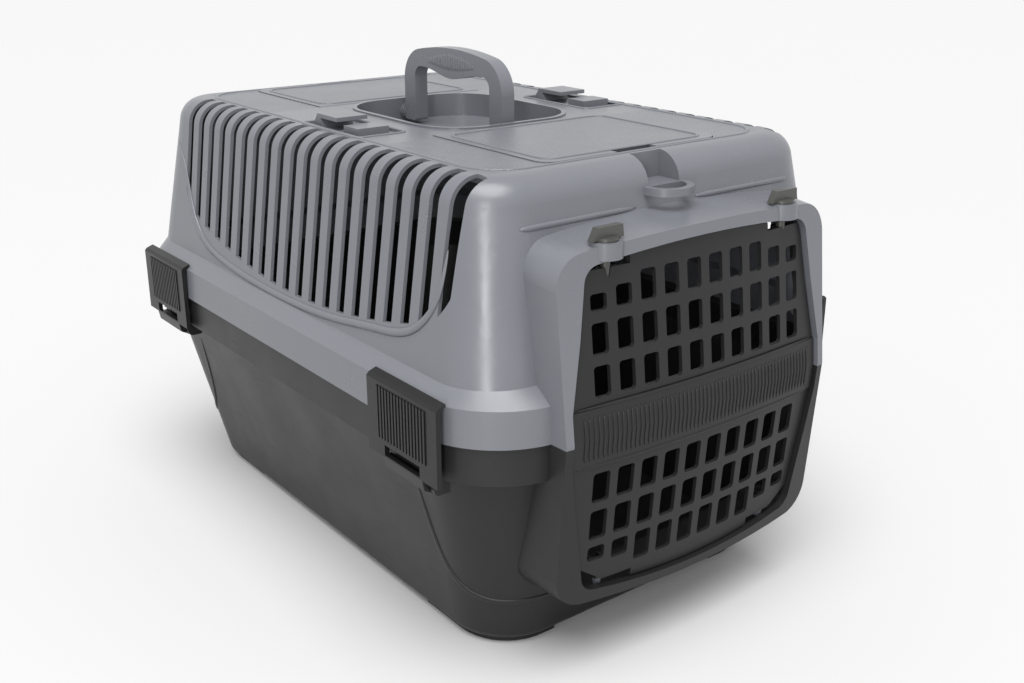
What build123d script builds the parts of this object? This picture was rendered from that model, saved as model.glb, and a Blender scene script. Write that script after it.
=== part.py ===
# Pet carrier: two moulded half shells held together by four side clips, a swinging grille door with two
# turn latches, a carry handle that folds into a roof well and hinged lids over two roof compartments.
# Frame: X across, Y towards the rear, Z up. The door faces -Y and the ground is Z = 0.
import os
from math import cos, radians, sin

from build123d import *

# Overall sizes, millimetres
skirt_width = 358.0
skirt_length = 528.0
roof_z = 332.0
parting_z = 173.0
wall = 2.5
door_reach = 16.4
band_rise = 1.2

# The origin is under the middle of the whole length, so the shell's own middle lies a little behind it
mid_y = (door_reach + band_rise) / 2
front_y = mid_y - skirt_length / 2

# Upper shell, from the parting line up: skirt band, sloping ledge, tapered wall, rounded roof edge
skirt_radius = 66.0
skirt_height = 25.0
skirt_draft = 0.8
ledge_rise = 10.0
ledge_width = 11.5
wall_radius = 42.0
wall_taper_x = 17.5
wall_taper_y = 23.0
shoulder_radius = 20.0

# Lower shell: rim band under the parting line, tapered tub, corner feet
rim_inset = 2.5
rim_height = 26.0
tub_inset = 12.0
tub_taper_x = 31.0
tub_taper_y = 29.0
tub_radius_top = 60.0
tub_radius_bottom = 45.0
tub_edge_radius = 7.0
foot_height = 4.0
foot_length = 84.0
foot_width = 52.0
foot_inset = 5.0
foot_band = 26.0

# Door surface: two flat halves that lean back from a level break line, bowed in plan
door_break_z = 175.0
lean_upper = 0.115
lean_lower = 0.071
bow_radius = 1033.0
door_setback = 4.0
door_plate = 3.0
door_flange_depth = 9.0
door_flange_width = 2.6
door_half_width = 113.5
door_top_z = 287.5
door_bottom_z = 58.2
door_gap = 1.5
door_corner = 12.0
band_half_height = 19.0
door_notch_half_width = 17.0
door_notch_height = 8.0
corner_step_x = 57.0
corner_step_z = 66.4
corner_slope_x = 82.0
corner_slope_run = 30.0
corner_slope_rise = 20.7

# Door grille
hole_columns = 10
hole_pitch = 19.68
hole_radius = 2.4
upper_hole = (12.4, 20.0)
lower_hole = (13.4, 21.4)
upper_rows = (264.2, 236.7, 209.8)
lower_rows = (137.8, 110.2, 83.2)
corner_hole_heights = (10.6, 13.6)

# Door surround: thin tunnel wall with an inward turned lip
surround_half_width = 120.5
surround_top_z = 294.5
surround_bottom_z = 51.0
surround_corner = 22.0
surround_arch = 7.0
surround_flare = 9.0
lip_depth = 6.0
lip_overhang = 3.0

# Door pivots and turn latches, one pair at each side
pivot_x = 80.0
pivot_back = 18.0
pivot_pin_radius = 3.0
running_clearance = 0.06
free_clearance = 0.5
knuckle_radius = 6.5
knuckle_height = 12.0
latch_boss_radius = 11.0
latch_boss_rise = 1.5
latch_disc_radius = 8.0
latch_disc_height = 2.0
latch_seat_gap = 0.3
pin_engagement = 14.0
latch_fin_length = 25.0
latch_fin_height = 8.5
latch_fin_thickness = 5.0

# Side vents
vent_count = 20
vent_pitch = 20.0
vent_first = -205.0
vent_width = 10.0
vent_low_z = 216.0
vent_arc_radius = 640.0
vent_corner = 40.0
vent_end_margin = 8.5

# Handle and the roof well that it folds into
well_half_width = 64.0
well_half_length = 76.0
well_radius = 38.0
well_depth = 17.5
well_rim_width = 3.5
well_rim_rise = 1.4
well_offset_y = 4.0
handle_half_length = 66.5
handle_offset_y = 5.0
handle_pivot_rise = 8.0
handle_height = 58.0
handle_leg = 15.5
handle_thickness = 12.0
handle_grip_depth = 19.0
handle_foot = 4.8
handle_shoulder = 9.0
handle_grip_swell = 4.5
handle_corner = 26.0
trunnion_radius = 4.0
trunnion_depth = 6.0
trunnion_boss = 9.5

# Roof lids over the front and rear compartments
lid_half_width = 79.0
lid_front_reach = 203.0
lid_gap = 0.6
lid_plate = 2.3
lid_proud = 0.6
lid_corner = 12.0
lid_hinge_radius = 2.2
lid_hinge_gap = 0.6
lid_pin_radius = 1.1
lid_pin_length = 4.0
compartment_depth = 24.0
compartment_margin = 7.0
notch_width = 36.0
notch_depth = 8.0

# Side clips
clip_width = 80.0
clip_centre = 189.0
clip_plate = 3.5
clip_clearance = 0.9
clip_hook_reach = 4.0
clip_hook_thickness = 1.5
clip_pivot_z = 140.0
clip_pivot_out = 5.5
clip_bar_radius = 2.5
clip_barrel_radius = 5.0
clip_barrel_length = 46.0
clip_ear = 5.0
clip_window = (41.0, 7.5)
clip_window_rise = 11.5
clip_side_gap = 0.4
clip_mouth = 3.6
clip_rib_count = 16
clip_rib_pitch = 3.6
clip_rib_depth = 0.8

# Seat belt guides and strap eyelets on the roof
guide_length = 79.0
guide_width = 38.0
guide_x = 106.0
guide_y = -12.0
guide_depth = 1.6
eyelet_half_width = 19.0
eyelet_reach = 20.0
eyelet_thickness = 5.0
eyelet_wall = 5.0
eyelet_drop = 23.0
eyelet_pocket = 22.0
eyelet_hole_gap = 2.0
guide_margin = 6.0
guide_hook_height = 8.0
guide_hook_plate = 3.0
guide_block_height = 4.0

skirt_half_x = skirt_width / 2
skirt_half_y = skirt_length / 2
ledge_z = parting_z + skirt_height + ledge_rise
door_y = front_y - door_reach
pivot_y = door_y + pivot_back
wall_half_x = skirt_half_x - skirt_draft - ledge_width
wall_half_y = skirt_half_y - skirt_draft - ledge_width - 2.5
well_y = mid_y + well_offset_y
well_floor_z = roof_z - well_depth
handle_y = mid_y + handle_offset_y
handle_pivot_z = well_floor_z + handle_pivot_rise
clip_pivot_x = skirt_half_x - clip_pivot_out


def level(z):
    """Horizontal sketch plane through the middle of the shell."""
    return Plane((0, mid_y, z))


def upright(y):
    """Sketch plane facing the front: local x is across and local y is up."""
    return Plane.XZ.offset(-y)


def sideways(x):
    """Sketch plane seen from the right: local x runs rearwards and local y is up."""
    return Plane.YZ.offset(x)


def tub_loft(sections):
    """Ruled loft through rounded rectangles given as (z, half width, half length, radius)."""
    with BuildPart() as tub:
        for z, half_x, half_y, radius in sections:
            with BuildSketch(level(z)):
                RectangleRounded(2 * half_x, 2 * half_y, radius)
        loft(ruled=True)
    return tub.part


def door_surface_back(z):
    """How far the door surface lies behind its break line at height z, on the centre line."""
    if z > door_break_z:
        return lean_upper * (z - door_break_z)
    return lean_lower * (door_break_z - z)


def leaning_slab(front, back, low_z, high_z):
    """Slab between two offsets of the door surface: two leaning parts, bowed about an upright axis."""
    half_angle = 9.0
    turn = radians(half_angle)
    centre = (0, door_y + bow_radius, 0)
    radial = Plane(origin=centre, x_dir=(-sin(turn), -cos(turn), 0), z_dir=(-cos(turn), sin(turn), 0))
    levels = [low_z, door_break_z, high_z] if low_z < door_break_z < high_z else [low_z, high_z]
    near = [(bow_radius - front - door_surface_back(z), z) for z in levels]
    far = [(bow_radius - back - door_surface_back(z), z) for z in reversed(levels)]
    with BuildPart() as slab:
        with BuildSketch(radial):
            with BuildLine():
                Polyline(*near, *far, close=True)
            make_face()
        revolve(axis=Axis(centre, (0, 0, 1)), revolution_arc=2 * half_angle)
    return slab.part


def door_outline(grow, y):
    """Barrel shaped outline of the door, grown outwards by an amount, on the upright plane at y."""
    half = door_half_width + grow
    low = door_bottom_z - grow
    high = door_top_z + grow
    top_x, bottom_x = half - 15.0, half - 14.5
    with BuildSketch(upright(y)) as outline:
        with BuildLine():
            right = Polyline(
                (bottom_x, low + 8.0),
                (half - 9.0, low + 42.0),
                (half - 4.0, low + 72.0),
                (half, door_break_z - band_half_height),
                (half, door_break_z + band_half_height),
                (half - 8.5, high - 50.0),
                (top_x, high - 6.5),
            )
            mirror(right, about=Plane.YZ)
            ThreePointArc((-top_x, high - 6.5), (0, high), (top_x, high - 6.5))
            ThreePointArc((-bottom_x, low + 8.0), (0, low), (bottom_x, low + 8.0))
        make_face()
        corners = vertices().filter_by(lambda v: v.Y > high - 6.6 or v.Y < low + 8.1)
        fillet(corners, door_corner)
    return outline.sketch


def below_corner(side, margin):
    """Space under a lower corner of the door, which is stepped up so that it clears the lower shell."""
    step_x = corner_step_x - margin
    step_z = corner_step_z + margin
    end_x = corner_slope_x + corner_slope_run
    with BuildSketch(upright(door_y - 24.0)) as below:
        with BuildLine():
            Polyline(
                (side * step_x, 0),
                (side * step_x, step_z),
                (side * corner_slope_x, step_z),
                (side * end_x, step_z + corner_slope_rise),
                (side * end_x, 0),
                close=True,
            )
        make_face()
    return below.sketch


def surround_outline(grow, lift, y):
    """Outer outline of the door surround on the upright plane at y: gently arched top and bottom."""
    half = surround_half_width + grow
    low = surround_bottom_z - grow
    high = surround_top_z + lift
    with BuildSketch(upright(y)) as outline:
        with BuildLine():
            right = Line((half, low + surround_arch), (half, high - surround_arch))
            mirror(right, about=Plane.YZ)
            ThreePointArc((-half, high - surround_arch), (0, high), (half, high - surround_arch))
            ThreePointArc((-half, low + surround_arch), (0, low), (half, low + surround_arch))
        make_face()
        fillet(vertices(), surround_corner)
    return outline.sketch


def span(low, high):
    """Box between two opposite corners, kept apart from any part being built."""
    size = [b - a for a, b in zip(low, high)]
    return Pos(*[(a + b) / 2 for a, b in zip(low, high)]) * Box(*size, mode=Mode.PRIVATE)


def post(x, y, low_z, high_z, radius):
    """Upright cylinder, kept apart from any part being built."""
    return Pos(x, y, (low_z + high_z) / 2) * Cylinder(radius, high_z - low_z, mode=Mode.PRIVATE)


def rod(centre, radius, length, along):
    """Cylinder centred on a point, lying along X or Y, kept apart from any part being built."""
    turn = Rot(0, 90, 0) if along == "X" else Rot(90, 0, 0)
    return Pos(*centre) * turn * Cylinder(radius, length, mode=Mode.PRIVATE)


def inner(sections, lowest_z, highest_z):
    """The sections moved in by the wall, between the given end levels."""
    levels = [lowest_z, *[z for z, _, _, _ in sections[1:-1]], highest_z]
    return [(z, x - wall, y - wall, r - wall) for z, (_, x, y, r) in zip(levels, sections)]


upper_sections = [
    (parting_z, skirt_half_x, skirt_half_y, skirt_radius),
    (parting_z + skirt_height, skirt_half_x - skirt_draft, skirt_half_y - skirt_draft, skirt_radius),
    (ledge_z, wall_half_x, wall_half_y, wall_radius),
    (roof_z, wall_half_x - wall_taper_x, wall_half_y - wall_taper_y, wall_radius - 4.0),
]
tub_half_x = skirt_half_x - tub_inset
tub_half_y = skirt_half_y - tub_inset
rim_z = parting_z - rim_height
lower_sections = [
    (foot_height, tub_half_x - tub_taper_x, tub_half_y - tub_taper_y, tub_radius_bottom),
    (rim_z, tub_half_x, tub_half_y, tub_radius_top),
    (parting_z, tub_half_x, tub_half_y, tub_radius_top),
]
rim_half_x = skirt_half_x - rim_inset
rim_half_y = skirt_half_y - rim_inset
pivots = [(side * pivot_x, pivot_y) for side in (-1, 1)]

# Door surround, a solid block cut to the door's curve in front, and the doorway through it
with BuildPart() as surround:
    loft([surround_outline(0, 0, door_y - 10.0), surround_outline(3.0, surround_flare, front_y + 55.0)])
    add(leaning_slab(-door_setback, 95.0, 20.0, 330.0), mode=Mode.INTERSECT)
with BuildPart() as doorway:
    extrude(door_outline(door_gap, door_y - 24.0), amount=-100.0)
with BuildPart() as tunnel_bore:
    extrude(door_outline(door_gap + lip_overhang, door_y - 24.0), amount=-100.0)
    add(leaning_slab(lip_depth - door_setback, 140.0, 20.0, 330.0), mode=Mode.INTERSECT)
above_parting = span((-400, -400, parting_z), (400, 400, 600))
below_parting = span((-400, -400, -50), (400, 400, parting_z))

# Cavity of the upper half: open below, with the roof edge rounded inside too
with BuildPart() as upper_cavity:
    add(tub_loft(inner(upper_sections, parting_z, roof_z - wall)))
    fillet(faces().sort_by(Axis.Z)[-1].edges(), shoulder_radius - wall)
with BuildPart() as lower_cavity:
    add(tub_loft(inner(lower_sections, foot_height + wall, parting_z)))

upper_outer = tub_loft(upper_sections)
lower_outer = tub_loft(lower_sections)


def well_outline(grow, z):
    """Rounded outline of the handle well at height z."""
    with BuildSketch(Plane((0, well_y, z))) as outline:
        RectangleRounded(2 * (well_half_width + grow), 2 * (well_half_length + grow), well_radius + grow)
    return outline.sketch


def lid_outline(grow, side, z):
    """Outline of a roof lid at height z; side is -1 for the front lid and 1 for the rear lid."""
    near_y = lid_near_y(side) - side * grow
    far_y = mid_y + side * (lid_front_reach + grow)
    with BuildSketch(Plane((0, (near_y + far_y) / 2, z))) as outline:
        Rectangle(2 * (lid_half_width + grow), abs(far_y - near_y))
        corners = vertices().filter_by(lambda v: v.Y * side > 0)
        fillet(corners, lid_corner)
    return outline.sketch


def lid_near_y(side):
    """Edge of a lid beside the handle well."""
    return well_y + side * (well_half_length + well_rim_width + lid_gap + 0.4)


def lid_axis(side):
    """Hinge line of a lid: y and z."""
    return lid_near_y(side) + side * lid_hinge_radius, roof_z + lid_proud - lid_hinge_radius


lid_seat_z = roof_z + lid_proud - lid_plate
lid_rest_gap = 0.2


def wall_front_y(z):
    """Outer face of the upper shell's front wall at height z, on the centre line."""
    return mid_y - wall_half_y + wall_taper_y * (z - ledge_z) / (roof_z - ledge_z)


def vent_slots(side):
    """Cutter for one side wall's vent slots: they end on an arc below and in the roof edge above."""
    inner_x = wall_half_x - wall_taper_x - shoulder_radius
    first = mid_y + vent_first - vent_end_margin
    last = mid_y + vent_first + (vent_count - 1) * vent_pitch + vent_end_margin
    middle = (first + last) / 2
    half = (last - first) / 2
    end_z = vent_low_z + half**2 / (2 * vent_arc_radius)
    with BuildPart() as cutter:
        with BuildSketch(sideways(side * inner_x)):
            with BuildLine():
                Polyline((first, end_z), (first, roof_z + 30), (last, roof_z + 30), (last, end_z))
                ThreePointArc((first, end_z), (middle, vent_low_z), (last, end_z))
            make_face()
            fillet(vertices().filter_by(lambda v: v.Y < end_z + 1), vent_corner)
            with BuildSketch(mode=Mode.INTERSECT):
                with Locations((middle, roof_z)):
                    with GridLocations(vent_pitch, 0, vent_count, 1):
                        Rectangle(vent_width, 400)
        extrude(amount=side * 80.0)
    return cutter.part


def eyelet(side):
    """Strap eyelet solid and pocket cutter at the front (-1) or rear (1) of the roof."""
    top = roof_z - eyelet_drop + eyelet_thickness
    root_y = mid_y + side * (mid_y - wall_front_y(top))
    tip_y = root_y + side * eyelet_reach
    back_y = root_y - side * eyelet_pocket
    arm_y = tip_y - side * eyelet_half_width
    hole = eyelet_half_width - eyelet_wall
    with BuildPart() as lug:
        with BuildSketch(Plane.XY.offset(top - eyelet_thickness)):
            with Locations((0, arm_y)):
                Circle(eyelet_half_width)
            with Locations((0, (arm_y + back_y) / 2)):
                Rectangle(2 * eyelet_half_width, abs(arm_y - back_y))
        extrude(amount=eyelet_thickness)
        near = (-eyelet_half_width, min(back_y, root_y - side), roof_z - eyelet_drop)
        far = (eyelet_half_width, max(back_y, root_y - side), roof_z)
        add(span(near, far) & upper_body.part)
    with BuildPart() as pocket:
        hole_back_y = root_y + side * eyelet_hole_gap
        with BuildSketch(Plane.XY.offset(top - eyelet_thickness - 1)):
            with Locations((0, arm_y)):
                Circle(hole)
            with Locations((0, hole_back_y + side * hole)):
                Rectangle(2 * hole, 2 * hole, mode=Mode.INTERSECT)
        extrude(amount=60.0)
        inner_y = back_y + side * wall
        outer_y = tip_y + side * 5
        with Locations((0, (inner_y + outer_y) / 2, top + 30)):
            Box(2 * hole, abs(outer_y - inner_y), 60)
    return lug.part, pocket.part


def belt_guide(side):
    """Raised hook and stepped block of a seat belt guide, on one side of the roof."""
    middle_y = mid_y + guide_y
    rear_y = middle_y + guide_length / 2 - 4
    top = roof_z + guide_hook_height
    floor_z = roof_z - guide_depth
    with BuildPart() as guide:
        with BuildSketch(sideways(side * guide_x)):
            with BuildLine():
                Polyline(
                    (rear_y, floor_z),
                    (rear_y - 7, top),
                    (middle_y, top),
                    (middle_y, top - guide_hook_plate),
                    (rear_y - 11, top - guide_hook_plate),
                    (rear_y - 15, floor_z),
                    close=True,
                )
            make_face()
        extrude(amount=(guide_width - 2 * guide_margin) / 2, both=True)
        block_y = middle_y - guide_length / 4
        with Locations((side * guide_x, block_y, floor_z + (guide_depth + guide_block_height) / 2)):
            Box(guide_width - 2 * guide_margin, guide_length / 4, guide_depth + guide_block_height)
    return guide.part


with BuildPart() as upper_body:
    add(upper_outer)
    fillet(faces().sort_by(Axis.Z)[-1].edges(), shoulder_radius)

eyelets = [eyelet(side) for side in (-1, 1)]
vents = [vent_slots(side) for side in (-1, 1)]
guides = [belt_guide(side) for side in (-1, 1)]
latch_boss_z = surround_top_z + latch_boss_rise

with BuildPart() as upper_whole:
    add(upper_body.part)
    add(surround.part & above_parting)
    add(upper_cavity.part, mode=Mode.SUBTRACT)
    add(vents, mode=Mode.SUBTRACT)
    # Cup of the handle well, with its rim bead
    extrude(well_outline(wall, well_floor_z - wall), amount=well_depth)
    extrude(well_outline(well_rim_width, roof_z - wall), amount=wall + well_rim_rise)
    for side in (-1, 1):
        # Compartment cup and the thickened seat round a lid
        cup_z = roof_z - compartment_depth - wall
        extrude(lid_outline(wall - compartment_margin, side, cup_z), amount=compartment_depth)
        extrude(lid_outline(wall, side, roof_z - 2 * wall), amount=wall)
        # Gutter under the lid's hinge, closed at both ends round the pins
        axis_y, axis_z = lid_axis(side)
        trough = lid_hinge_radius + lid_hinge_gap
        gutter_x = lid_half_width + lid_pin_length + 1.0 + wall
        low = (-gutter_x, axis_y - trough - wall, axis_z - trough - wall)
        add(span(low, (gutter_x, axis_y + trough + wall, roof_z - wall / 2)))
        # Boss that carries one trunnion of the handle
        boss_y = well_y + side * (well_half_length + trunnion_boss / 2)
        half_y = trunnion_boss / 2 + 1
        low = (-trunnion_boss, boss_y - half_y, well_floor_z - wall)
        add(span(low, (trunnion_boss, boss_y + half_y, roof_z - 1.0)))
    for x, y in pivots:
        add(post(x, y, surround_top_z - 9.0, latch_boss_z, latch_boss_radius))
    extrude(well_outline(0, well_floor_z), amount=well_depth + 10.0, mode=Mode.SUBTRACT)
    for side in (-1, 1):
        bore_y = well_y + side * (well_half_length + trunnion_depth / 2)
        bore = trunnion_radius + running_clearance
        add(rod((0, bore_y, handle_pivot_z), bore, trunnion_depth + 2.0, "Y"), mode=Mode.SUBTRACT)
        extrude(lid_outline(lid_gap, side, lid_seat_z), amount=20.0, mode=Mode.SUBTRACT)
        compartment = lid_outline(-compartment_margin, side, roof_z - compartment_depth)
        extrude(compartment, amount=60.0, mode=Mode.SUBTRACT)
        # Trough and end bores for a lid's hinge
        axis_y, axis_z = lid_axis(side)
        trough = lid_hinge_radius + lid_hinge_gap
        near = (-lid_half_width - lid_gap, axis_y - trough, axis_z - trough)
        far = (lid_half_width + lid_gap, axis_y + trough, roof_z + 9.0)
        add(span(near, far), mode=Mode.SUBTRACT)
        bore_length = 2 * (lid_half_width + lid_pin_length + 1.0)
        lid_bore = rod((0, axis_y, axis_z), lid_pin_radius + running_clearance, bore_length, "X")
        add(lid_bore, mode=Mode.SUBTRACT)
    add(doorway.part, mode=Mode.SUBTRACT)
    add(tunnel_bore.part, mode=Mode.SUBTRACT)
    for x, y in pivots:
        shaft_hole = pivot_pin_radius + running_clearance
        add(post(x, y, surround_top_z - 30.0, surround_top_z + 20.0, shaft_hole), mode=Mode.SUBTRACT)
    for lug, pocket in eyelets:
        add(lug)
        add(pocket, mode=Mode.SUBTRACT)
    for side in (-1, 1):
        low = (side * guide_x - guide_width / 2, mid_y + guide_y - guide_length / 2, roof_z - guide_depth)
        high = (side * guide_x + guide_width / 2, mid_y + guide_y + guide_length / 2, roof_z + 10)
        add(span(low, high), mode=Mode.SUBTRACT)
    add(guides)

# Cups and fittings of the roof, each a piece that meets the shell around it face to face
cup_half_x = lid_half_width + lid_pin_length + wall + 2.5
cup_near = well_half_length + wall / 2
cup_far = lid_front_reach + wall + 0.8
roof_regions = {
    "handle_well": span(
        (-well_half_width - well_rim_width - 2.5, well_y - cup_near, well_floor_z - wall - 2.0),
        (well_half_width + well_rim_width + 2.5, well_y + cup_near, roof_z + 20),
    ),
    "front_compartment": span(
        (-cup_half_x, mid_y - cup_far, roof_z - compartment_depth - wall - 2.0),
        (cup_half_x, well_y - cup_near, roof_z + 20),
    ),
    "rear_compartment": span(
        (-cup_half_x, well_y + cup_near, roof_z - compartment_depth - wall - 2.0),
        (cup_half_x, mid_y + cup_far, roof_z + 20),
    ),
    "front_eyelet": span(
        (-eyelet_half_width - 2, mid_y - cup_far - 60, roof_z - eyelet_drop - 3),
        (eyelet_half_width + 2, mid_y - cup_far, roof_z + 20),
    ),
    "rear_eyelet": span(
        (-eyelet_half_width - 2, mid_y + cup_far, roof_z - eyelet_drop - 3),
        (eyelet_half_width + 2, mid_y + cup_far + 60, roof_z + 20),
    ),
}
for side_name, side in (("left", -1), ("right", 1)):
    half_y = guide_length / 2 + 2.5
    near_x = min(side * (guide_x - guide_width / 2 - 2), side * (guide_x + guide_width / 2 + 2))
    near = (near_x, mid_y + guide_y - half_y, roof_z - 12)
    far = (near_x + guide_width + 4, mid_y + guide_y + half_y, roof_z + 20)
    roof_regions[f"{side_name}_belt_guide"] = span(near, far)
for name, region in roof_regions.items():
    with BuildPart() as roof_piece:
        add(upper_whole.part & region)
    roof_piece.part.label = name
    export_step(roof_piece.part, f"parts/{name}.step")
with BuildPart() as upper_shell:
    add(upper_whole.part)
    for region in roof_regions.values():
        add(region, mode=Mode.SUBTRACT)
upper_shell.part.label = "upper_shell"

foot_x = tub_half_x - tub_taper_x - foot_inset
foot_y = tub_half_y - tub_taper_y - foot_inset
with BuildPart() as feet:
    with BuildSketch(level(0)):
        RectangleRounded(2 * foot_x, 2 * foot_y, tub_radius_bottom - foot_inset)
        inside = (2 * (foot_x - foot_band), 2 * (foot_y - foot_band))
        RectangleRounded(*inside, tub_radius_bottom - foot_band, mode=Mode.SUBTRACT)
        with BuildSketch(mode=Mode.INTERSECT):
            with GridLocations(2 * foot_x - foot_width, 2 * foot_y - foot_length, 2, 2):
                Rectangle(foot_width, foot_length)
    extrude(amount=foot_height + wall)

clip_places = [(sx, mid_y + sy * clip_centre) for sx in (-1, 1) for sy in (-1, 1)]
ear_offset = clip_barrel_length / 2 + clip_side_gap + clip_ear / 2
bar_length = 2 * (ear_offset + clip_ear / 2)

with BuildPart() as lower_shell:
    add(lower_outer)
    fillet(faces().sort_by(Axis.Z)[0].edges(), tub_edge_radius)
    with BuildSketch(level(rim_z)):
        RectangleRounded(2 * rim_half_x, 2 * rim_half_y, skirt_radius - rim_inset)
    extrude(amount=rim_height)
    # The rim is a channel, open below
    with BuildSketch(level(rim_z)):
        RectangleRounded(2 * (rim_half_x - wall), 2 * (rim_half_y - wall), skirt_radius - rim_inset - wall)
        RectangleRounded(2 * tub_half_x, 2 * tub_half_y, tub_radius_top, mode=Mode.SUBTRACT)
    extrude(amount=rim_height - wall, mode=Mode.SUBTRACT)
    add(surround.part & below_parting)
    add(lower_cavity.part, mode=Mode.SUBTRACT)
    add(feet.part)
    add(doorway.part, mode=Mode.SUBTRACT)
    add(tunnel_bore.part, mode=Mode.SUBTRACT)
    for side, y in clip_places:
        ear_radius = clip_barrel_radius - 0.5
        for ear_y in (y - ear_offset, y + ear_offset):
            add(rod((side * clip_pivot_x, ear_y, clip_pivot_z), ear_radius, clip_ear, "Y"))
            for reach_x, low_z, high_z in (
                (clip_pivot_x, clip_pivot_z - ear_radius, rim_z + 1.0),
                (rim_half_x - wall / 2, rim_z, parting_z - wall / 2),
            ):
                ends = sorted((side * (tub_half_x - wall / 2), side * reach_x))
                low = (ends[0], ear_y - clip_ear / 2, low_z)
                add(span(low, (ends[1], ear_y + clip_ear / 2, high_z)))
        add(rod((side * clip_pivot_x, y, clip_pivot_z), clip_bar_radius, bar_length, "Y"))
    for x, y in pivots:
        pin_hole = post(x, y, surround_bottom_z + 3.0, surround_bottom_z + 13.0, pivot_pin_radius)
        add(pin_hole, mode=Mode.SUBTRACT)
lower_shell.part.label = "lower_shell"

# Door: curved plate with a rim flange behind, raised band across the middle, knuckles at both sides
with BuildPart() as door_blank:
    extrude(door_outline(0, door_y - 24.0), amount=-100.0)
    for side in (-1, 1):
        extrude(below_corner(side, 0), amount=-100.0, mode=Mode.SUBTRACT)
with BuildPart() as door_inside:
    extrude(door_outline(-door_flange_width, door_y - 24.0), amount=-100.0)
    for side in (-1, 1):
        extrude(below_corner(side, door_flange_width), amount=-100.0, mode=Mode.SUBTRACT)
with BuildPart() as door_hollow:
    add(door_inside.part & leaning_slab(door_plate, 60.0, 20.0, 330.0))
band_low = door_break_z - band_half_height
band_high = door_break_z + band_half_height
raised_band = leaning_slab(-band_rise, 1.0, band_low, band_high) & door_blank.part
top_knuckle_z = door_top_z - door_notch_height - knuckle_height
low_knuckle_z = door_bottom_z + 9.0
knuckle_limit = leaning_slab(0.5, 60.0, 20.0, 330.0)

with BuildPart() as door:
    add(door_blank.part & leaning_slab(0, door_flange_depth, 20.0, 330.0))
    add(door_hollow.part, mode=Mode.SUBTRACT)
    add(raised_band)
    for x, y in pivots:
        for z in (top_knuckle_z, low_knuckle_z):
            knuckle = post(x, y, z, z + knuckle_height, knuckle_radius)
            web = span((x - knuckle_radius, y - 20.0, z), (x + knuckle_radius, y, z + knuckle_height))
            add((knuckle + web) & knuckle_limit)
    for rows, size in ((upper_rows, upper_hole), (lower_rows, lower_hole)):
        for row_z in rows:
            with BuildSketch(upright(door_y - 10.0)):
                for column in range(hole_columns):
                    from_edge = min(column, hole_columns - 1 - column)
                    x = (column - (hole_columns - 1) / 2) * hole_pitch
                    height, z = size[1], row_z
                    outer_row = row_z in (upper_rows[0], lower_rows[-1])
                    if outer_row and from_edge < len(corner_hole_heights):
                        height = corner_hole_heights[from_edge]
                        shift = (size[1] - height) / 2
                        z = row_z - shift if row_z > door_break_z else row_z + shift
                    with Locations((x, z)):
                        RectangleRounded(size[0], height, hole_radius)
            extrude(amount=-60.0, mode=Mode.SUBTRACT)
    for x, y in pivots:
        # Notch over each top knuckle, under the latch boss
        near = (x - door_notch_half_width, door_y - 30, door_top_z - door_notch_height)
        far = (x + door_notch_half_width, door_y + 60, door_top_z + 10)
        add(span(near, far), mode=Mode.SUBTRACT)
        bore = pivot_pin_radius + (running_clearance if x > 0 else free_clearance)
        for z in (top_knuckle_z - 3.0, door_bottom_z - 10.0):
            add(post(x, y, z, z + 40.0, bore), mode=Mode.SUBTRACT)
            if x < 0:
                add(span((x - bore, y, z), (x + bore, y + 30.0, z + 40.0)), mode=Mode.SUBTRACT)
door.part.label = "door"

handle_top_z = handle_pivot_z + handle_height
with BuildPart() as handle:
    with BuildSketch(sideways(0)):
        with BuildLine():
            Polyline(
                (handle_y - handle_half_length, handle_top_z - handle_shoulder),
                (handle_y - handle_half_length, handle_pivot_z),
                (handle_y + handle_half_length, handle_pivot_z),
                (handle_y + handle_half_length, handle_top_z - handle_shoulder),
            )
            ThreePointArc(
                (handle_y - handle_half_length, handle_top_z - handle_shoulder),
                (handle_y, handle_top_z),
                (handle_y + handle_half_length, handle_top_z - handle_shoulder),
            )
        make_face()
        fillet(vertices().filter_by(lambda v: v.Y > handle_pivot_z + 1), handle_corner)
        leg_y = handle_half_length - handle_leg / 2
        with Locations((handle_y - leg_y, handle_pivot_z), (handle_y + leg_y, handle_pivot_z)):
            RectangleRounded(handle_leg, 2 * handle_foot, 2.0)
        with BuildSketch(mode=Mode.SUBTRACT):
            inside = handle_half_length - handle_leg
            under_z = handle_top_z - handle_grip_depth
            with BuildLine():
                Polyline(
                    (handle_y - inside, under_z),
                    (handle_y - inside, handle_pivot_z - 20),
                    (handle_y + inside, handle_pivot_z - 20),
                    (handle_y + inside, under_z),
                )
                Spline(
                    (handle_y - inside, under_z),
                    (handle_y - inside * 0.45, under_z - 0.5),
                    (handle_y, under_z - handle_grip_swell),
                    (handle_y + inside * 0.45, under_z - 0.5),
                    (handle_y + inside, under_z),
                )
            make_face()
            fillet(vertices().filter_by(lambda v: abs(v.Y - under_z) < 0.01), 9.0)
    extrude(amount=handle_thickness / 2, both=True)
    for side in (-1, 1):
        leg_face = handle_y + side * handle_half_length
        wall_face = well_y + side * well_half_length
        end = wall_face + side * (trunnion_depth - 0.5)
        centre = (0, (leg_face + end) / 2 - side, handle_pivot_z)
        add(rod(centre, trunnion_radius, abs(end - leg_face) + 2.0, "Y"))
        for fraction in (0.15, 0.5, 0.85):
            collar_y = leg_face + fraction * (wall_face - leg_face)
            add(rod((0, collar_y, handle_pivot_z), trunnion_radius + 2.5, 1.6, "Y"))
handle.part.label = "carry_handle"

os.makedirs("parts", exist_ok=True)
export_step(upper_shell.part, "parts/upper_shell.step")
export_step(lower_shell.part, "parts/lower_shell.step")
export_step(door.part, "parts/door.step")
export_step(handle.part, "parts/carry_handle.step")

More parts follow.
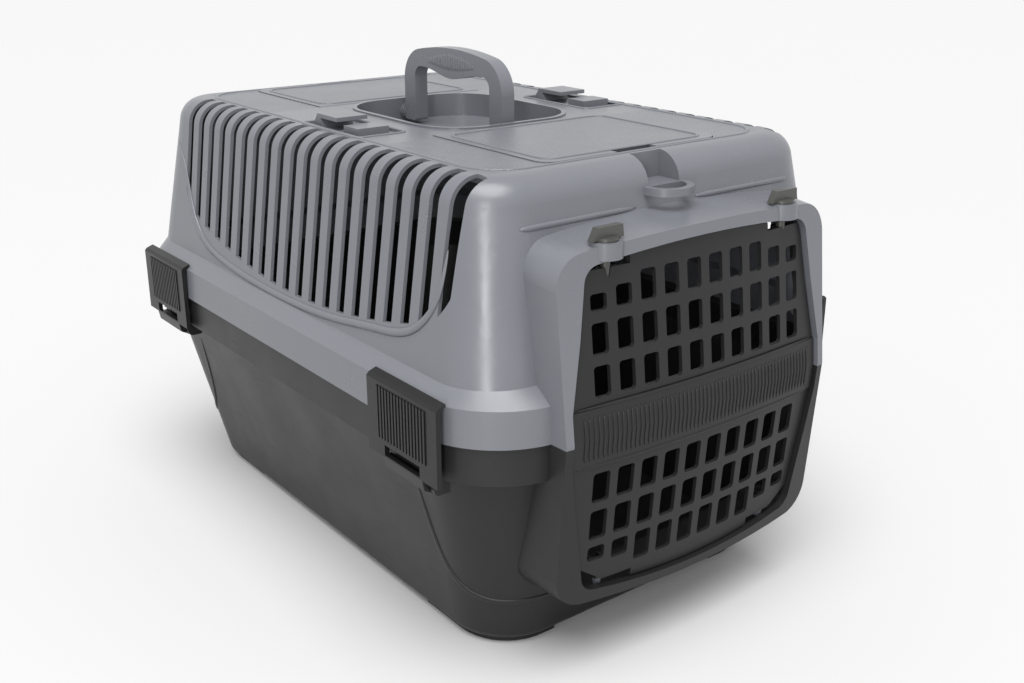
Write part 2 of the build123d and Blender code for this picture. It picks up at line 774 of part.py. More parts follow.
for side, name in ((-1, "front_lid"), (1, "rear_lid")):
    axis_y, axis_z = lid_axis(side)
    plate_z = lid_seat_z + lid_rest_gap
    with BuildPart() as lid:
        extrude(lid_outline(0, side, plate_z), amount=lid_plate - lid_rest_gap)
        # The plate ends at the hinge line, where the barrel rounds its edge
        ends = sorted((axis_y, axis_y - side * 10.0))
        beyond = span((-2 * lid_half_width, ends[0], plate_z - 5), (2 * lid_half_width, ends[1], plate_z + 5))
        add(beyond, mode=Mode.SUBTRACT)
        add(rod((0, axis_y, axis_z), lid_hinge_radius, 2 * lid_half_width, "X"))
        add(rod((0, axis_y, axis_z), lid_pin_radius, 2 * (lid_half_width + lid_pin_length), "X"))
        far_y = mid_y + side * lid_front_reach
        with Locations((0, far_y, plate_z)):
            Box(notch_width, 2 * notch_depth, 10, mode=Mode.SUBTRACT)
    lid.part.label = name
    export_step(lid.part, f"parts/{name}.step")

clip_inner_x = skirt_half_x + clip_clearance
clip_outer_x = clip_inner_x + clip_plate
clip_hook_x = clip_inner_x - clip_hook_reach
ledge_slope = ledge_rise / ledge_width


def hook_under_z(x):
    """Underside of a clip's hook, just clear of the skirt's sloping ledge."""
    return parting_z + skirt_height + clip_clearance + (skirt_half_x - skirt_draft - x) * ledge_slope


for side_name, side in (("left", -1), ("right", 1)):
    for end_name, end in (("front", -1), ("rear", 1)):
        clip_y = mid_y + end * clip_centre
        plate_low_z = clip_pivot_z + 6.5
        elbow_z = hook_under_z(clip_inner_x)
        with BuildPart() as clip:
            with BuildSketch(upright(clip_y)):
                with BuildLine():
                    Polyline(
                        (side * clip_outer_x, plate_low_z),
                        (side * clip_outer_x, elbow_z + 1.0),
                        (side * (clip_outer_x - 2.0), elbow_z + 3.0),
                        (side * clip_hook_x, hook_under_z(clip_hook_x) + clip_hook_thickness),
                        (side * clip_hook_x, hook_under_z(clip_hook_x)),
                        (side * clip_inner_x, elbow_z),
                        (side * clip_inner_x, plate_low_z),
                        close=True,
                    )
                make_face()
            extrude(amount=clip_width / 2, both=True)
            with BuildSketch(upright(clip_y)):
                with BuildLine():
                    Polyline(
                        (side * clip_inner_x, plate_low_z),
                        (side * clip_outer_x, plate_low_z),
                        (side * (clip_outer_x - 1.5), clip_pivot_z - 1.0),
                        (side * (clip_pivot_x + 1.0), clip_pivot_z - clip_barrel_radius + 0.1),
                        (side * (clip_pivot_x + 2.0), clip_pivot_z + clip_barrel_radius - 1.0),
                        close=True,
                    )
                make_face()
                with Locations((side * clip_pivot_x, clip_pivot_z)):
                    Circle(clip_barrel_radius)
                    Circle(clip_bar_radius + running_clearance, mode=Mode.SUBTRACT)
                with Locations((side * clip_pivot_x, clip_pivot_z - clip_barrel_radius)):
                    Rectangle(clip_mouth, 2 * clip_barrel_radius, mode=Mode.SUBTRACT)
            extrude(amount=clip_barrel_length / 2, both=True)
            # Grip ribs down the outer face
            rib_low = clip_pivot_z + clip_window_rise + clip_window[1]
            with Locations((side * clip_outer_x, clip_y, (rib_low + elbow_z - 2.0) / 2)):
                with GridLocations(0, clip_rib_pitch, 1, clip_rib_count):
                    Box(2 * clip_rib_depth, clip_rib_pitch / 2, elbow_z - 2.0 - rib_low)
            with Locations((side * clip_outer_x, clip_y, clip_pivot_z + clip_window_rise)):
                Box(20.0, clip_window[0], clip_window[1], mode=Mode.SUBTRACT)
        clip.part.label = f"{end_name}_{side_name}_clip"
        export_step(clip.part, f"parts/{end_name}_{side_name}_clip.step")

for side_name, (x, y) in zip(("left", "right"), pivots):
    shaft_low_z = door_top_z - door_notch_height - pin_engagement
    disc_z = latch_boss_z + latch_seat_gap
    with BuildPart() as latch:
        add(post(x, y, shaft_low_z, disc_z + latch_disc_height, pivot_pin_radius))
        add(post(x, y, disc_z, disc_z + latch_disc_height, latch_disc_radius))
        with BuildSketch(upright(y)):
            with BuildLine():
                Polyline(
                    (x - latch_fin_length / 2, disc_z + 0.5),
                    (x - latch_fin_length / 2 + 4.0, disc_z + latch_fin_height),
                    (x + latch_fin_length / 2 - 1.0, disc_z + latch_fin_height),
                    (x + latch_fin_length / 2, disc_z + 0.5),
                    close=True,
                )
            make_face()
        extrude(amount=latch_fin_thickness / 2, both=True)
    latch.part.label = f"{side_name}_door_latch"
    export_step(latch.part, f"parts/{side_name}_door_latch.step")
    with BuildPart() as hinge_pin:
        add(post(x, y, surround_bottom_z + 3.0, door_bottom_z + pin_engagement + 4.0, pivot_pin_radius))
    hinge_pin.part.label = f"{side_name}_door_pin"
    export_step(hinge_pin.part, f"parts/{side_name}_door_pin.step")
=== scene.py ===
# %% [markdown]
# # A hard plastic pet carrier
# The carrier is injection moulded: a light grey upper shell, a charcoal lower shell and door, and small
# fittings that clip in. Its solids come ready measured. This lesson gives them their plastics, adds the
# thin mouldings that catch the light, and sets up a plain studio with the photograph's viewpoint.

# %% The measured solids
from math import radians

import bmesh
import bpy
import numpy as np
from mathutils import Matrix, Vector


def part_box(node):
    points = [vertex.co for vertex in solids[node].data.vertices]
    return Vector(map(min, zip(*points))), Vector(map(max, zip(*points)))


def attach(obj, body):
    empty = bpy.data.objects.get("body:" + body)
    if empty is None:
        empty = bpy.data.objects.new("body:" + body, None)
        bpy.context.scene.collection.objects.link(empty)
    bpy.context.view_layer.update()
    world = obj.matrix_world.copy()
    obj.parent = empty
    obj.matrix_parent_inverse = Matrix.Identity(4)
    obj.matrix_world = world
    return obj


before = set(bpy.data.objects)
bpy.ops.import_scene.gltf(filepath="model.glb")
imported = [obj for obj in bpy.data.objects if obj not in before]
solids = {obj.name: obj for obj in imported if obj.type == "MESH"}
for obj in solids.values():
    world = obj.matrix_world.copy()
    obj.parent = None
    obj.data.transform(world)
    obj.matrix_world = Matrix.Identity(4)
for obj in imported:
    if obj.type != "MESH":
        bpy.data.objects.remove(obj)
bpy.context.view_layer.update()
print("solids:", sorted(solids))

# %% [markdown]
# ## Viewpoint
# The photograph looks down on the door's corner from about a metre away. A lens length and a position
# were worked out from the long straight edges of the shell, so nothing is left to judge by eye.

# %% Camera
eye = (-0.5455, -0.7645, 0.4825)
look_down = radians(20.06)
heading = radians(37.66)
lens_data = bpy.data.cameras.new("photo_lens")
lens_data.lens = 41.62
lens_data.sensor_width = 36.0
lens_data.sensor_fit = "HORIZONTAL"
camera = bpy.data.objects.new("photo_camera", lens_data)
camera.location = eye
camera.rotation_euler = (radians(90) - look_down, 0.0, -heading)
bpy.context.scene.collection.objects.link(camera)
bpy.context.scene.camera = camera
print("camera at", eye)

# %% [markdown]
# ## Studio
# The real picture was lit by a bright room of white surfaces, one tall lamp near the viewpoint, which
# draws the upright streaks on the corners, and soft light from above that makes the roof the palest
# part. A uniform sky, a very soft sun and one upright panel lamp give the same, and the pale floor is
# toned so that it comes out nearly as white as the picture's ground.

# %% Floor, sky and lamps
floor_tone = 0.44
sky_strength = 0.86
roof_light = 4.2

world = bpy.data.worlds.new("white_room")
world.use_nodes = True
world.node_tree.nodes["Background"].inputs["Color"].default_value = (1.0, 1.0, 1.0, 1.0)
world.node_tree.nodes["Background"].inputs["Strength"].default_value = sky_strength
bpy.context.scene.world = world
bpy.context.scene.view_settings.view_transform = "Standard"

floor_mesh = bpy.data.meshes.new("studio_floor")
reach = 14.0
floor_mesh.from_pydata(
    [(-reach, -reach, -0.0005), (reach, -reach, -0.0005), (reach, reach, -0.0005), (-reach, reach, -0.0005)],
    [],
    [(0, 1, 2, 3)],
)
floor = bpy.data.objects.new("studio_floor", floor_mesh)
bpy.context.scene.collection.objects.link(floor)
floor_paint = bpy.data.materials.new("floor_paint")
floor_paint.use_nodes = True
floor_shader = floor_paint.node_tree.nodes["Principled BSDF"]
floor_shader.inputs["Base Color"].default_value = (floor_tone, floor_tone, floor_tone, 1.0)
floor_shader.inputs["Roughness"].default_value = 0.9
floor_shader.inputs["Specular IOR Level"].default_value = 0.0
floor_mesh.materials.append(floor_paint)

sun_data = bpy.data.lights.new("roof_light", "SUN")
sun_data.energy = roof_light
sun_data.angle = radians(50)
sun = bpy.data.objects.new("roof_light", sun_data)
sun.rotation_euler = (radians(14), radians(-12), 0.0)
bpy.context.scene.collection.objects.link(sun)

strip_data = bpy.data.lights.new("tall_lamp", "AREA")
strip_data.shape = "RECTANGLE"
strip_data.size = 0.20
strip_data.size_y = 1.7
strip_data.energy = 30.0
strip = bpy.data.objects.new("tall_lamp", strip_data)
strip.location = (-1.55, -1.55, 0.55)
strip.rotation_euler = (radians(90), 0.0, radians(-45))
bpy.context.scene.collection.objects.link(strip)
print("studio: floor", floor_tone, "sky", sky_strength, "roof light", roof_light)


# %% [markdown]
# ## What moulded plastic looks like up close
# The tool that pressed these shells was spark eroded, so the skin has a very fine even grain. Over it
# lie faint clouds, where the plastic flowed unevenly, and short scuffs from handling. One node group
# works all three out from the object's own coordinates, and each plastic then uses it in its own
# amounts. A group keeps the recipe in one place.

# %% Node helpers
def new_group(title, inputs, outputs):
    """An empty shader group with float inputs given as (name, default) and float outputs by name."""
    group = bpy.data.node_groups.new(title, "ShaderNodeTree")
    for name, default in inputs:
        socket = group.interface.new_socket(name=name, in_out="INPUT", socket_type="NodeSocketFloat")
        socket.default_value = default
    for name in outputs:
        group.interface.new_socket(name=name, in_out="OUTPUT", socket_type="NodeSocketFloat")
    return group, group.nodes.new("NodeGroupInput"), group.nodes.new("NodeGroupOutput")


def arithmetic(tree, operation, first, second=None):
    """A Math node; each operand is a number or a socket. Returns the result socket."""
    node = tree.nodes.new("ShaderNodeMath")
    node.operation = operation
    for index, operand in enumerate((first, second)):
        if operand is None:
            continue
        if isinstance(operand, (int, float)):
            node.inputs[index].default_value = operand
        else:
            tree.links.new(operand, node.inputs[index])
    return node.outputs[0]


def object_axes(tree):
    """The object's own coordinates as one vector socket and as three separate ones."""
    coords = tree.nodes.new("ShaderNodeTexCoord")
    split = tree.nodes.new("ShaderNodeSeparateXYZ")
    tree.links.new(coords.outputs["Object"], split.inputs[0])
    return coords.outputs["Object"], split.outputs


# %% Moulded skin group
skin, skin_in, skin_out = new_group(
    "Moulded skin",
    [("Grain Scale", 2600.0), ("Cloud Scale", 14.0), ("Scuff Scale", 90.0)],
    ["Grain", "Cloud", "Scuffs"],
)
place, _ = object_axes(skin)

grain = skin.nodes.new("ShaderNodeTexNoise")
grain.inputs["Detail"].default_value = 2.0
skin.links.new(place, grain.inputs["Vector"])
skin.links.new(skin_in.outputs["Grain Scale"], grain.inputs["Scale"])
skin.links.new(grain.outputs["Fac"], skin_out.inputs["Grain"])

cloud = skin.nodes.new("ShaderNodeTexNoise")
cloud.inputs["Detail"].default_value = 4.0
cloud.inputs["Roughness"].default_value = 0.6
skin.links.new(place, cloud.inputs["Vector"])
skin.links.new(skin_in.outputs["Cloud Scale"], cloud.inputs["Scale"])
skin.links.new(cloud.outputs["Fac"], skin_out.inputs["Cloud"])

stretch = skin.nodes.new("ShaderNodeMapping")
stretch.inputs["Scale"].default_value = (1.0, 0.28, 2.4)
stretch.inputs["Rotation"].default_value = (0.5, 0.2, 0.3)
skin.links.new(place, stretch.inputs["Vector"])
scuff = skin.nodes.new("ShaderNodeTexNoise")
scuff.inputs["Detail"].default_value = 6.0
scuff.inputs["Roughness"].default_value = 0.7
skin.links.new(stretch.outputs["Vector"], scuff.inputs["Vector"])
skin.links.new(skin_in.outputs["Scuff Scale"], scuff.inputs["Scale"])
scuff_rise = skin.nodes.new("ShaderNodeMapRange")
scuff_rise.inputs["From Min"].default_value = 0.60
scuff_rise.inputs["From Max"].default_value = 0.74
skin.links.new(scuff.outputs["Fac"], scuff_rise.inputs["Value"])
skin.links.new(scuff_rise.outputs["Result"], skin_out.inputs["Scuffs"])
print("built group", skin.name)

# %% [markdown]
# ## The hatched grip pattern
# The lids and the ends of the roof carry a fine diamond hatch, so that a hand or a parcel doesn't
# slide. It is the product of two waves that cross at right angles, kept inside a straight-sided area
# by a second group, because the border and the handle well stay smooth.

# %% Hatch and panel groups
hatch, hatch_in, hatch_out = new_group("Diamond hatch", [("Wave Number", 950.0)], ["Height"])
_, axes = object_axes(hatch)
along = arithmetic(hatch, "ADD", axes["X"], axes["Y"])
across = arithmetic(hatch, "SUBTRACT", axes["X"], axes["Y"])
wave_one = arithmetic(hatch, "SINE", arithmetic(hatch, "MULTIPLY", along, hatch_in.outputs["Wave Number"]))
wave_two = arithmetic(hatch, "SINE", arithmetic(hatch, "MULTIPLY", across, hatch_in.outputs["Wave Number"]))
hatch.links.new(arithmetic(hatch, "MULTIPLY", wave_one, wave_two), hatch_out.inputs["Height"])

panel, panel_in, panel_out = new_group(
    "Panel area",
    [("Half Width", 0.07), ("Middle Y", 0.0), ("Half Length", 0.05), ("Lowest Z", 0.3)],
    ["Mask"],
)
_, axes = object_axes(panel)
from_axis = arithmetic(panel, "ABSOLUTE", axes["X"])
in_width = arithmetic(panel, "LESS_THAN", from_axis, panel_in.outputs["Half Width"])
from_middle = arithmetic(panel, "SUBTRACT", axes["Y"], panel_in.outputs["Middle Y"])
from_middle = arithmetic(panel, "ABSOLUTE", from_middle)
in_length = arithmetic(panel, "LESS_THAN", from_middle, panel_in.outputs["Half Length"])
above = arithmetic(panel, "GREATER_THAN", axes["Z"], panel_in.outputs["Lowest Z"])
in_both = arithmetic(panel, "MULTIPLY", in_width, in_length)
panel.links.new(arithmetic(panel, "MULTIPLY", in_both, above), panel_out.inputs["Mask"])
print("built groups", hatch.name, "and", panel.name)


# %% [markdown]
# ## The plastics
# Every plastic here is a Principled shader fed by the skin group: the clouds shift its colour and
# gloss, the scuffs make small dull pale marks, and the grain gives a bump of a few hundredths of a
# millimetre. The hatched version adds the pattern's height to the grain's.

# %% Plastic recipe
plain_shine = 0.5
scuff_strength = 0.2
scuff_dulling = 0.15
hatch_height = 0.00030


def moulded_plastic(
    title, colour, cloudy, gloss, grain_height, shine=plain_shine, hatch_areas=(), smooth_areas=()
):
    """Plastic material: colours are linear RGB, gloss is (least, most) roughness, heights are in metres.

    shine is the strength of the reflection; an area is (half width, middle y, half length, lowest z).
    """
    material = bpy.data.materials.new(title)
    material.use_nodes = True
    tree = material.node_tree
    shader = tree.nodes["Principled BSDF"]
    shader.inputs["IOR"].default_value = 1.49
    shader.inputs["Specular IOR Level"].default_value = shine
    texture = tree.nodes.new("ShaderNodeGroup")
    texture.node_tree = skin

    colour_mix = tree.nodes.new("ShaderNodeMix")
    colour_mix.data_type = "RGBA"
    colour_mix.inputs["A"].default_value = (*colour, 1.0)
    colour_mix.inputs["B"].default_value = (*cloudy, 1.0)
    tree.links.new(texture.outputs["Cloud"], colour_mix.inputs["Factor"])
    scuff_mix = tree.nodes.new("ShaderNodeMix")
    scuff_mix.data_type = "RGBA"
    scuff_mix.inputs["B"].default_value = (*[min(1.0, value * 1.5 + 0.01) for value in colour], 1.0)
    scuff_share = arithmetic(tree, "MULTIPLY", texture.outputs["Scuffs"], scuff_strength)
    tree.links.new(scuff_share, scuff_mix.inputs["Factor"])
    tree.links.new(colour_mix.outputs["Result"], scuff_mix.inputs["A"])
    tree.links.new(scuff_mix.outputs["Result"], shader.inputs["Base Color"])

    gloss_range = tree.nodes.new("ShaderNodeMapRange")
    gloss_range.inputs["From Min"].default_value = 0.3
    gloss_range.inputs["From Max"].default_value = 0.7
    gloss_range.inputs["To Min"].default_value = gloss[0]
    gloss_range.inputs["To Max"].default_value = gloss[1]
    tree.links.new(texture.outputs["Cloud"], gloss_range.inputs["Value"])
    duller = arithmetic(tree, "MULTIPLY", texture.outputs["Scuffs"], scuff_dulling)
    tree.links.new(arithmetic(tree, "ADD", gloss_range.outputs["Result"], duller), shader.inputs["Roughness"])

    height = arithmetic(tree, "MULTIPLY", texture.outputs["Grain"], grain_height)
    if hatch_areas:
        pattern = tree.nodes.new("ShaderNodeGroup")
        pattern.node_tree = hatch
        mask = None
        for area, sign in [(a, 1) for a in hatch_areas] + [(a, -1) for a in smooth_areas]:
            bounds_node = tree.nodes.new("ShaderNodeGroup")
            bounds_node.node_tree = panel
            for socket, value in zip(("Half Width", "Middle Y", "Half Length", "Lowest Z"), area):
                bounds_node.inputs[socket].default_value = value
            part = bounds_node.outputs["Mask"]
            if sign < 0:
                mask = arithmetic(tree, "MULTIPLY", mask, arithmetic(tree, "SUBTRACT", 1.0, part))
            else:
                mask = part if mask is None else arithmetic(tree, "MAXIMUM", mask, part)
        raised = arithmetic(tree, "MULTIPLY", pattern.outputs["Height"], mask)
        height = arithmetic(tree, "ADD", height, arithmetic(tree, "MULTIPLY", raised, hatch_height))
    bump = tree.nodes.new("ShaderNodeBump")
    bump.inputs["Strength"].default_value = 0.6
    bump.inputs["Distance"].default_value = 1.0
    tree.links.new(height, bump.inputs["Height"])
    tree.links.new(bump.outputs["Normal"], shader.inputs["Normal"])
    return material


# %% The carrier's own plastics
middle_y = 0.0088
lid_boxes = {name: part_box(name) for name in ("front_lid", "rear_lid")}


def lid_area(name):
    """Hatched area of a lid, inside its raised outline: half width, middle, half length, lowest z."""
    low, high = lid_boxes[name]
    return (0.0695, (low[1] + high[1]) / 2, (high[1] - low[1]) / 2 - 0.0095, high[2] - 0.0004)


grey = (0.104, 0.108, 0.122)
grey_cloud = (0.114, 0.118, 0.132)
charcoal = (0.0100, 0.0100, 0.0105)
charcoal_cloud = (0.0140, 0.0140, 0.0147)
charcoal_shine = 0.30
roof_area = (0.1215, middle_y, 0.2035, 0.3312)
handle_area = (0.2, middle_y, 0.085, 0.3312)

shell_grey = moulded_plastic(
    "shell_grey", grey, grey_cloud, (0.26, 0.36), 0.000010, plain_shine, [roof_area], [handle_area]
)
lid_greys = {
    name: moulded_plastic(
        f"{name}_grey", grey, grey_cloud, (0.28, 0.38), 0.000010, plain_shine, [lid_area(name)]
    )
    for name in lid_boxes
}
fitting_grey = moulded_plastic("fitting_grey", grey, grey_cloud, (0.24, 0.33), 0.000008)
tub_charcoal = moulded_plastic("tub_charcoal", charcoal, charcoal_cloud, (0.34, 0.46), 0.000014, charcoal_shine)
door_charcoal = moulded_plastic(
    "door_charcoal", charcoal, charcoal_cloud, (0.36, 0.46), 0.000012, charcoal_shine
)
clip_black = (0.0060, 0.0060, 0.0063)
clip_charcoal = moulded_plastic(
    "clip_charcoal", clip_black, charcoal, (0.30, 0.4), 0.00001, charcoal_shine
)
latch_grey = (0.040, 0.040, 0.037)
latch_cloud = (0.050, 0.050, 0.046)
latch_dark = moulded_plastic("latch_dark", latch_grey, latch_cloud, (0.3, 0.4), 0.000008)

finishes = {
    "upper_shell": shell_grey,
    "lower_shell": tub_charcoal,
    "door": door_charcoal,
    "carry_handle": fitting_grey,
    "front_lid": lid_greys["front_lid"],
    "rear_lid": lid_greys["rear_lid"],
    "left_door_pin": fitting_grey,
    "right_door_pin": fitting_grey,
    "left_door_latch": latch_dark,
    "right_door_latch": latch_dark,
}
roof_pieces = (
    "handle_well", "front_compartment", "rear_compartment",
    "front_eyelet", "rear_eyelet", "left_belt_guide", "right_belt_guide",
)
finishes.update({name: shell_grey for name in roof_pieces})
finishes.update({name: clip_charcoal for name in solids if name.endswith("_clip")})
for name, solid in solids.items():
    for slot in solid.material_slots:
        slot.material = finishes[name]
print("finished", len(solids), "solids in", len(set(finishes.values())), "plastics")


# %% [markdown]
# ## Beads: thin raised lines
# Much of the carrier's character is in beads about two millimetres wide: round the lids, along the
# roof's border, under the vents and in rows on the door and the grip. A bead is a small half-round
# section carried along a path that lies on the surface. Here one function makes any number of beads
# at once, as a single mesh, from arrays of path points and of surface normals.

# %% Bead maker
def beads(title, paths, ups, width, height, body, material, closed=False, sides=8):
    """Beads along paths, an array (count, points, 3), with unit normals ups of the same shape.

    Round each path point the section is width/2 * cos(t) to the side and height * sin(t) along the
    normal; the lower half is flattened to a tenth, sunk in the surface. Open beads shrink to a point
    at both ends as the square root of a half wave, so no end is left open.
    """
    paths = np.asarray(paths, dtype=float)
    ups = np.asarray(ups, dtype=float)
    if closed:
        tangents = np.roll(paths, -1, axis=1) - np.roll(paths, 1, axis=1)
        swell = np.ones(paths.shape[1])
    else:
        tangents = np.gradient(paths, axis=1)
        steps = np.linspace(0.0, 1.0, paths.shape[1])
        swell = np.clip(np.minimum(steps, 1.0 - steps) * 8.0, 0.0, 1.0) ** 0.5
    side = np.cross(tangents, ups)
    side /= np.linalg.norm(side, axis=2, keepdims=True)
    turn = np.arange(sides) * 2.0 * np.pi / sides
    out = np.cos(turn) * width / 2.0
    rise = np.sin(turn) * height
    rise = np.where(rise < 0.0, rise * 0.5 - 0.00005, rise)
    scale = swell[None, :, None, None]
    ring = side[:, :, None, :] * out[None, None, :, None] + ups[:, :, None, :] * rise[None, None, :, None]
    points = paths[:, :, None, :] + scale * ring
    count, length, around = points.shape[:3]
    index = np.arange(count * length * around).reshape(count, length, around)
    index = np.concatenate([index, index[:, :, :1]], axis=2)
    if closed:
        index = np.concatenate([index, index[:, :1, :]], axis=1)
    corners = (index[:, :-1, :-1], index[:, 1:, :-1], index[:, 1:, 1:], index[:, :-1, 1:])
    faces = np.stack(corners, axis=-1).reshape(-1, 4)
    return mesh_piece(title, points.reshape(-1, 3), faces, body, material)


def mesh_piece(title, points, faces, body, material):
    """Puts points and faces into a mesh, merges doubles, turns the faces outwards and mounts the piece."""
    mesh = bpy.data.meshes.new(title)
    mesh.from_pydata(points.tolist(), [], faces.tolist())
    shape = bmesh.new()
    shape.from_mesh(mesh)
    bmesh.ops.remove_doubles(shape, verts=shape.verts, dist=1e-7)
    bmesh.ops.recalc_face_normals(shape, faces=shape.faces)
    shape.to_mesh(mesh)
    shape.free()
    mesh.polygons.foreach_set("use_smooth", np.ones(len(mesh.polygons), dtype=bool))
    mesh.materials.append(material)
    piece = bpy.data.objects.new(title, mesh)
    bpy.context.scene.collection.objects.link(piece)
    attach(piece, body)
    print(title, len(mesh.polygons), "faces")
    return piece


def rounded_rectangle(half_x, half_y, radius, centre, z, count=120):
    """Evenly spaced points of a rounded rectangle: a circle pushed out to four corners."""
    steps = np.arange(count) * 2.0 * np.pi / count
    x = np.cos(steps)
    y = np.sin(steps)
    corner_x = np.sign(x) * (half_x - radius) * (np.abs(x) > 1e-9)
    corner_y = np.sign(y) * (half_y - radius) * (np.abs(y) > 1e-9)
    loop = np.stack([corner_x + radius * x, corner_y + radius * y], axis=1)
    ring = np.vstack([loop, loop[:1]])
    lengths = np.concatenate([[0.0], np.cumsum(np.linalg.norm(np.diff(ring, axis=0), axis=1))])
    even = np.linspace(0.0, lengths[-1], count, endpoint=False)
    x = np.interp(even, lengths, ring[:, 0]) + centre[0]
    y = np.interp(even, lengths, ring[:, 1]) + centre[1]
    return np.stack([x, y, np.full(count, z)], axis=1)


straight_up = np.array([0.0, 0.0, 1.0])


def flat_loop(title, loop, width, height, body, material):
    """A closed bead on a level surface."""
    ups = np.broadcast_to(straight_up, loop.shape)
    return beads(title, loop[None], ups[None], width, height, body, material, closed=True)


# %% [markdown]
# ## Roof mouldings
# The lids have a raised outline just inside their edge, the roof a border where it starts to round
# over, and each belt guide a frame round its recess. All of them lie level, so a rounded rectangle
# spaced evenly along its length is the whole path.

# %% Lid outlines, roof border and belt guide frames
roof_z = 0.332
for name in lid_boxes:
    low, high = lid_boxes[name]
    half_y = (high[1] - low[1]) / 2 - 0.008
    centre = (0.0, (low[1] + high[1]) / 2)
    loop = rounded_rectangle(0.0715, half_y, 0.010, centre, high[2])
    flat_loop(f"{name}_outline", loop, 0.0030, 0.0008, name, lid_greys[name])

border = rounded_rectangle(0.1245, 0.2050, 0.030, (0.0, middle_y), roof_z - 0.0001, count=200)
flat_loop("roof_border", border, 0.0034, 0.0009, "shell", shell_grey)
for side, label in ((-1, "left"), (1, "right")):
    frame_loop = rounded_rectangle(0.0205, 0.0410, 0.004, (side * 0.106, middle_y - 0.012), roof_z)
    flat_loop(f"{label}_guide_frame", frame_loop, 0.0026, 0.0010, "shell", shell_grey)


# %% [markdown]
# ## Following the walls
# The shells are rounded rectangles that shrink towards the roof and towards the floor. A bead on a
# wall needs points on that surface and the surface's normal. Any nearby point can be put on the wall:
# clamp it to the rectangle of the corner centres, and step out from there by the corner radius.

# %% Points on a shell wall
def on_wall(points, low, high):
    """Nearby points moved onto a tapering shell wall, with unit normals.

    low and high are the sections (z, half width, half length, corner radius) at the wall's two ends;
    sizes in between are found by straight interpolation in z.
    """
    points = np.asarray(points, dtype=float)
    share = (points[:, 2] - low[0]) / (high[0] - low[0])
    half_x, half_y, radius = [low[i] + share * (high[i] - low[i]) for i in (1, 2, 3)]
    y = points[:, 1] - middle_y
    core_x = np.clip(points[:, 0], radius - half_x, half_x - radius)
    core_y = np.clip(y, radius - half_y, half_y - radius)
    out = np.stack([points[:, 0] - core_x, y - core_y], axis=1)
    out /= np.linalg.norm(out, axis=1, keepdims=True)
    x = core_x + out[:, 0] * radius
    y = core_y + out[:, 1] * radius + middle_y
    slope = -(high[1] - low[1]) / (high[0] - low[0])
    normals = np.column_stack([out, np.full(len(points), slope)])
    normals /= np.linalg.norm(normals, axis=1, keepdims=True)
    return np.column_stack([x, y, points[:, 2]]), normals


upper_wall = ((0.208, 0.1667, 0.2492, 0.042), (0.332, 0.1492, 0.2262, 0.038))
lower_wall = ((0.004, 0.1360, 0.2230, 0.045), (0.147, 0.1670, 0.2520, 0.060))


def smooth_path(points, count):
    """A smooth path through a few points: each coordinate is a natural cubic of the length so far."""
    points = np.asarray(points, dtype=float)
    lengths = np.concatenate([[0.0], np.cumsum(np.linalg.norm(np.diff(points, axis=0), axis=1))])
    size = len(points)
    gap = np.diff(lengths)
    system = np.eye(size)
    right = np.zeros_like(points)
    rows = np.arange(1, size - 1)
    system[rows, rows - 1] = gap[:-1]
    system[rows, rows] = 2.0 * (gap[:-1] + gap[1:])
    system[rows, rows + 1] = gap[1:]
    slopes = np.diff(points, axis=0) / gap[:, None]
    right[1:-1] = 6.0 * (slopes[1:] - slopes[:-1])
    bend = np.linalg.solve(system, right)
    even = np.linspace(0.0, lengths[-1], count)
    piece = np.clip(np.searchsorted(lengths, even, side="right") - 1, 0, size - 2)
    step = (even - lengths[piece])[:, None]
    width = gap[piece][:, None]
    start, end = bend[piece], bend[piece + 1]
    rate = slopes[piece] - width * (2.0 * start + end) / 6.0
    return points[piece] + rate * step + start * step**2 / 2.0 + (end - start) * step**3 / (6.0 * width)


# %% [markdown]
# ## The ridge round the vents
# The slots sit in a field that is outlined by a soft ridge: it drops from the rear shoulder, runs
# under the slots in a long shallow arc and rises again to the front shoulder. It is one smooth path
# through a dozen measured points, put on the wall on each side.

# %% Vent ridges
ridge_points = [
    (0.203, 0.297), (0.184, 0.277), (0.166, 0.246), (0.145, 0.2265), (0.100, 0.2145), (0.042, 0.2105),
    (-0.020, 0.2105), (-0.080, 0.2145), (-0.130, 0.2215), (-0.176, 0.2330), (-0.1975, 0.2560),
    (-0.207, 0.2900),
]
for side, label in ((-1, "left"), (1, "right")):
    rough = [(side * 0.17, middle_y + y, z) for y, z in ridge_points]
    path, normals = on_wall(smooth_path(rough, 140), *upper_wall)
    beads(f"{label}_vent_ridge", path[None], normals[None], 0.0060, 0.0016, "shell", shell_grey)

# %% [markdown]
# ## Front mouldings
# Above the door the front wall steps back in a thin level ledge on each side of the strap eyelet, and
# short creases lie where the roof rounds over. They keep a large plain wall stiff.

# %% Front and rear wall steps
step_from_x, step_to_x = 0.026, 0.128
step_z = 0.3020
step_points = 24
for end, label in ((-1, "front"), (1, "rear")):
    for side, name in ((-1, "left"), (1, "right")):
        across = np.linspace(step_from_x, step_to_x, step_points)
        level = np.full(step_points, step_z)
        outside = np.full(step_points, middle_y + end * 0.26)
        rough = np.column_stack([side * across, outside, level])
        path, normals = on_wall(rough, *upper_wall)
        beads(f"{label}_{name}_step", path[None], normals[None], 0.0040, 0.0009, "shell", shell_grey)

# %% [markdown]
# ## Lower shell mouldings
# A shallow embossed arc leaves the rim behind each clip, sweeps down the side and turns round the
# corner to the middle of the end wall. It is the same idea as the vent ridge, on the lower wall.

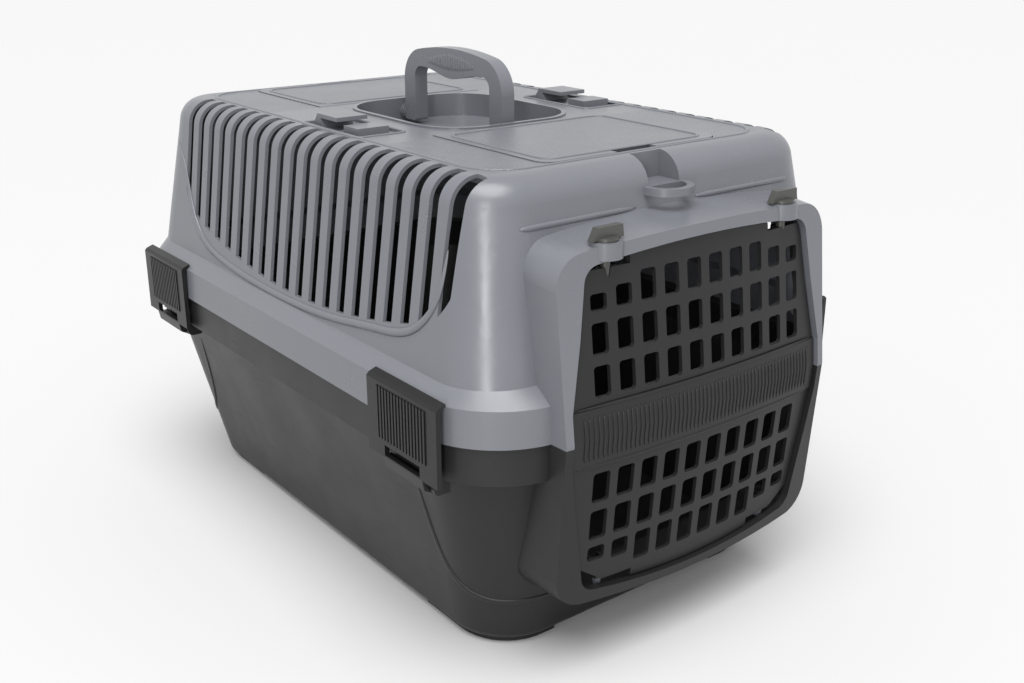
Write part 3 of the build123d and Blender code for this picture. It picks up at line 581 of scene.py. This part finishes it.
# %% Embossed arcs on the lower shell
arc_points = [
    (0.160, 0.172, 0.128), (0.153, 0.176, 0.095), (0.146, 0.184, 0.066), (0.140, 0.198, 0.047),
    (0.120, 0.235, 0.040), (0.090, 0.240, 0.039), (0.060, 0.240, 0.038), (0.030, 0.240, 0.038),
]
for end, label in ((-1, "front"), (1, "rear")):
    for side, name in ((-1, "left"), (1, "right")):
        rough = smooth_path([(side * x, middle_y + end * y, z) for x, y, z in arc_points], 90)
        path, normals = on_wall(rough, *lower_wall)
        title = f"{label}_{name}_arc"
        beads(title, path[None], normals[None], 0.0050, 0.0009, "shell", tub_charcoal)


# %% [markdown]
# ## Ribs on the door's band
# Between the two blocks of holes the door has a plain band with a row of fine upright ribs. The door's
# face leans back above and below its middle line and is bowed in plan, so each rib's points are
# worked out from the same face: a lean for height, a circle for width.

# %% Door band ribs
door_front_y = -0.2716
bow_radius = 1.033
break_z = 0.175
lean_above, lean_below = 0.115, 0.071


def door_face(x, z, out):
    """Points on the door's face, moved forward by out: depth = lean * height off the break + x^2 / (2 R)."""
    lean = np.where(z > break_z, lean_above * (z - break_z), lean_below * (break_z - z))
    y = door_front_y - out + lean + (bow_radius - np.sqrt(bow_radius**2 - x**2))
    return np.stack([x, y, z], axis=-1)


rib_x = np.linspace(-0.1045, 0.1045, 58)
rib_z = np.linspace(0.1595, 0.1900, 9)
grid_x, grid_z = np.meshgrid(rib_x, rib_z, indexing="ij")
rib_paths = door_face(grid_x, grid_z, 0.0012)
rib_ups = np.zeros_like(rib_paths)
rib_ups[..., 1] = -1.0  # every rib points out of the door, whose lean is small
beads("door_band_ribs", rib_paths, rib_ups, 0.0016, 0.0008, "door", door_charcoal, sides=6)

edge_x = np.linspace(-0.1110, 0.1110, 60)
for z, label in ((0.1950, "upper"), (0.1555, "lower")):
    path = door_face(edge_x, np.full(60, z), 0.0011)
    ups = np.zeros_like(path)
    ups[:, 1] = -1.0
    title = f"door_band_{label}_edge"
    beads(title, path[None], ups[None], 0.0022, 0.0007, "door", door_charcoal)

# %% [markdown]
# ## The grip
# The handle's grip has a lens-shaped patch of fine ribs on each face. The lens is the gap between two
# arcs, so a rib's half height is a parabola of its distance from the middle.

# %% Grip ribs
handle_low, handle_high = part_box("carry_handle")
grip_y = (handle_low[1] + handle_high[1]) / 2 + 0.001
grip_z = handle_high[2] - 0.0108
offsets = np.linspace(-0.030, 0.030, 27)
half_heights = 0.0068 * (1.0 - (offsets / 0.034) ** 2)
spread = np.linspace(-1.0, 1.0, 7)
for side, label in ((-1, "left"), (1, "right")):
    y = np.repeat(grip_y + offsets[:, None], 7, axis=1)
    z = grip_z + half_heights[:, None] * spread[None, :] - 0.0012 * (offsets[:, None] / 0.03) ** 2
    paths = np.stack([np.full_like(y, side * 0.0060), y, z], axis=-1)
    ups = np.zeros_like(paths)
    ups[..., 0] = side
    beads(f"{label}_grip_ribs", paths, ups, 0.0012, 0.0005, "handle", fitting_grey, sides=6)
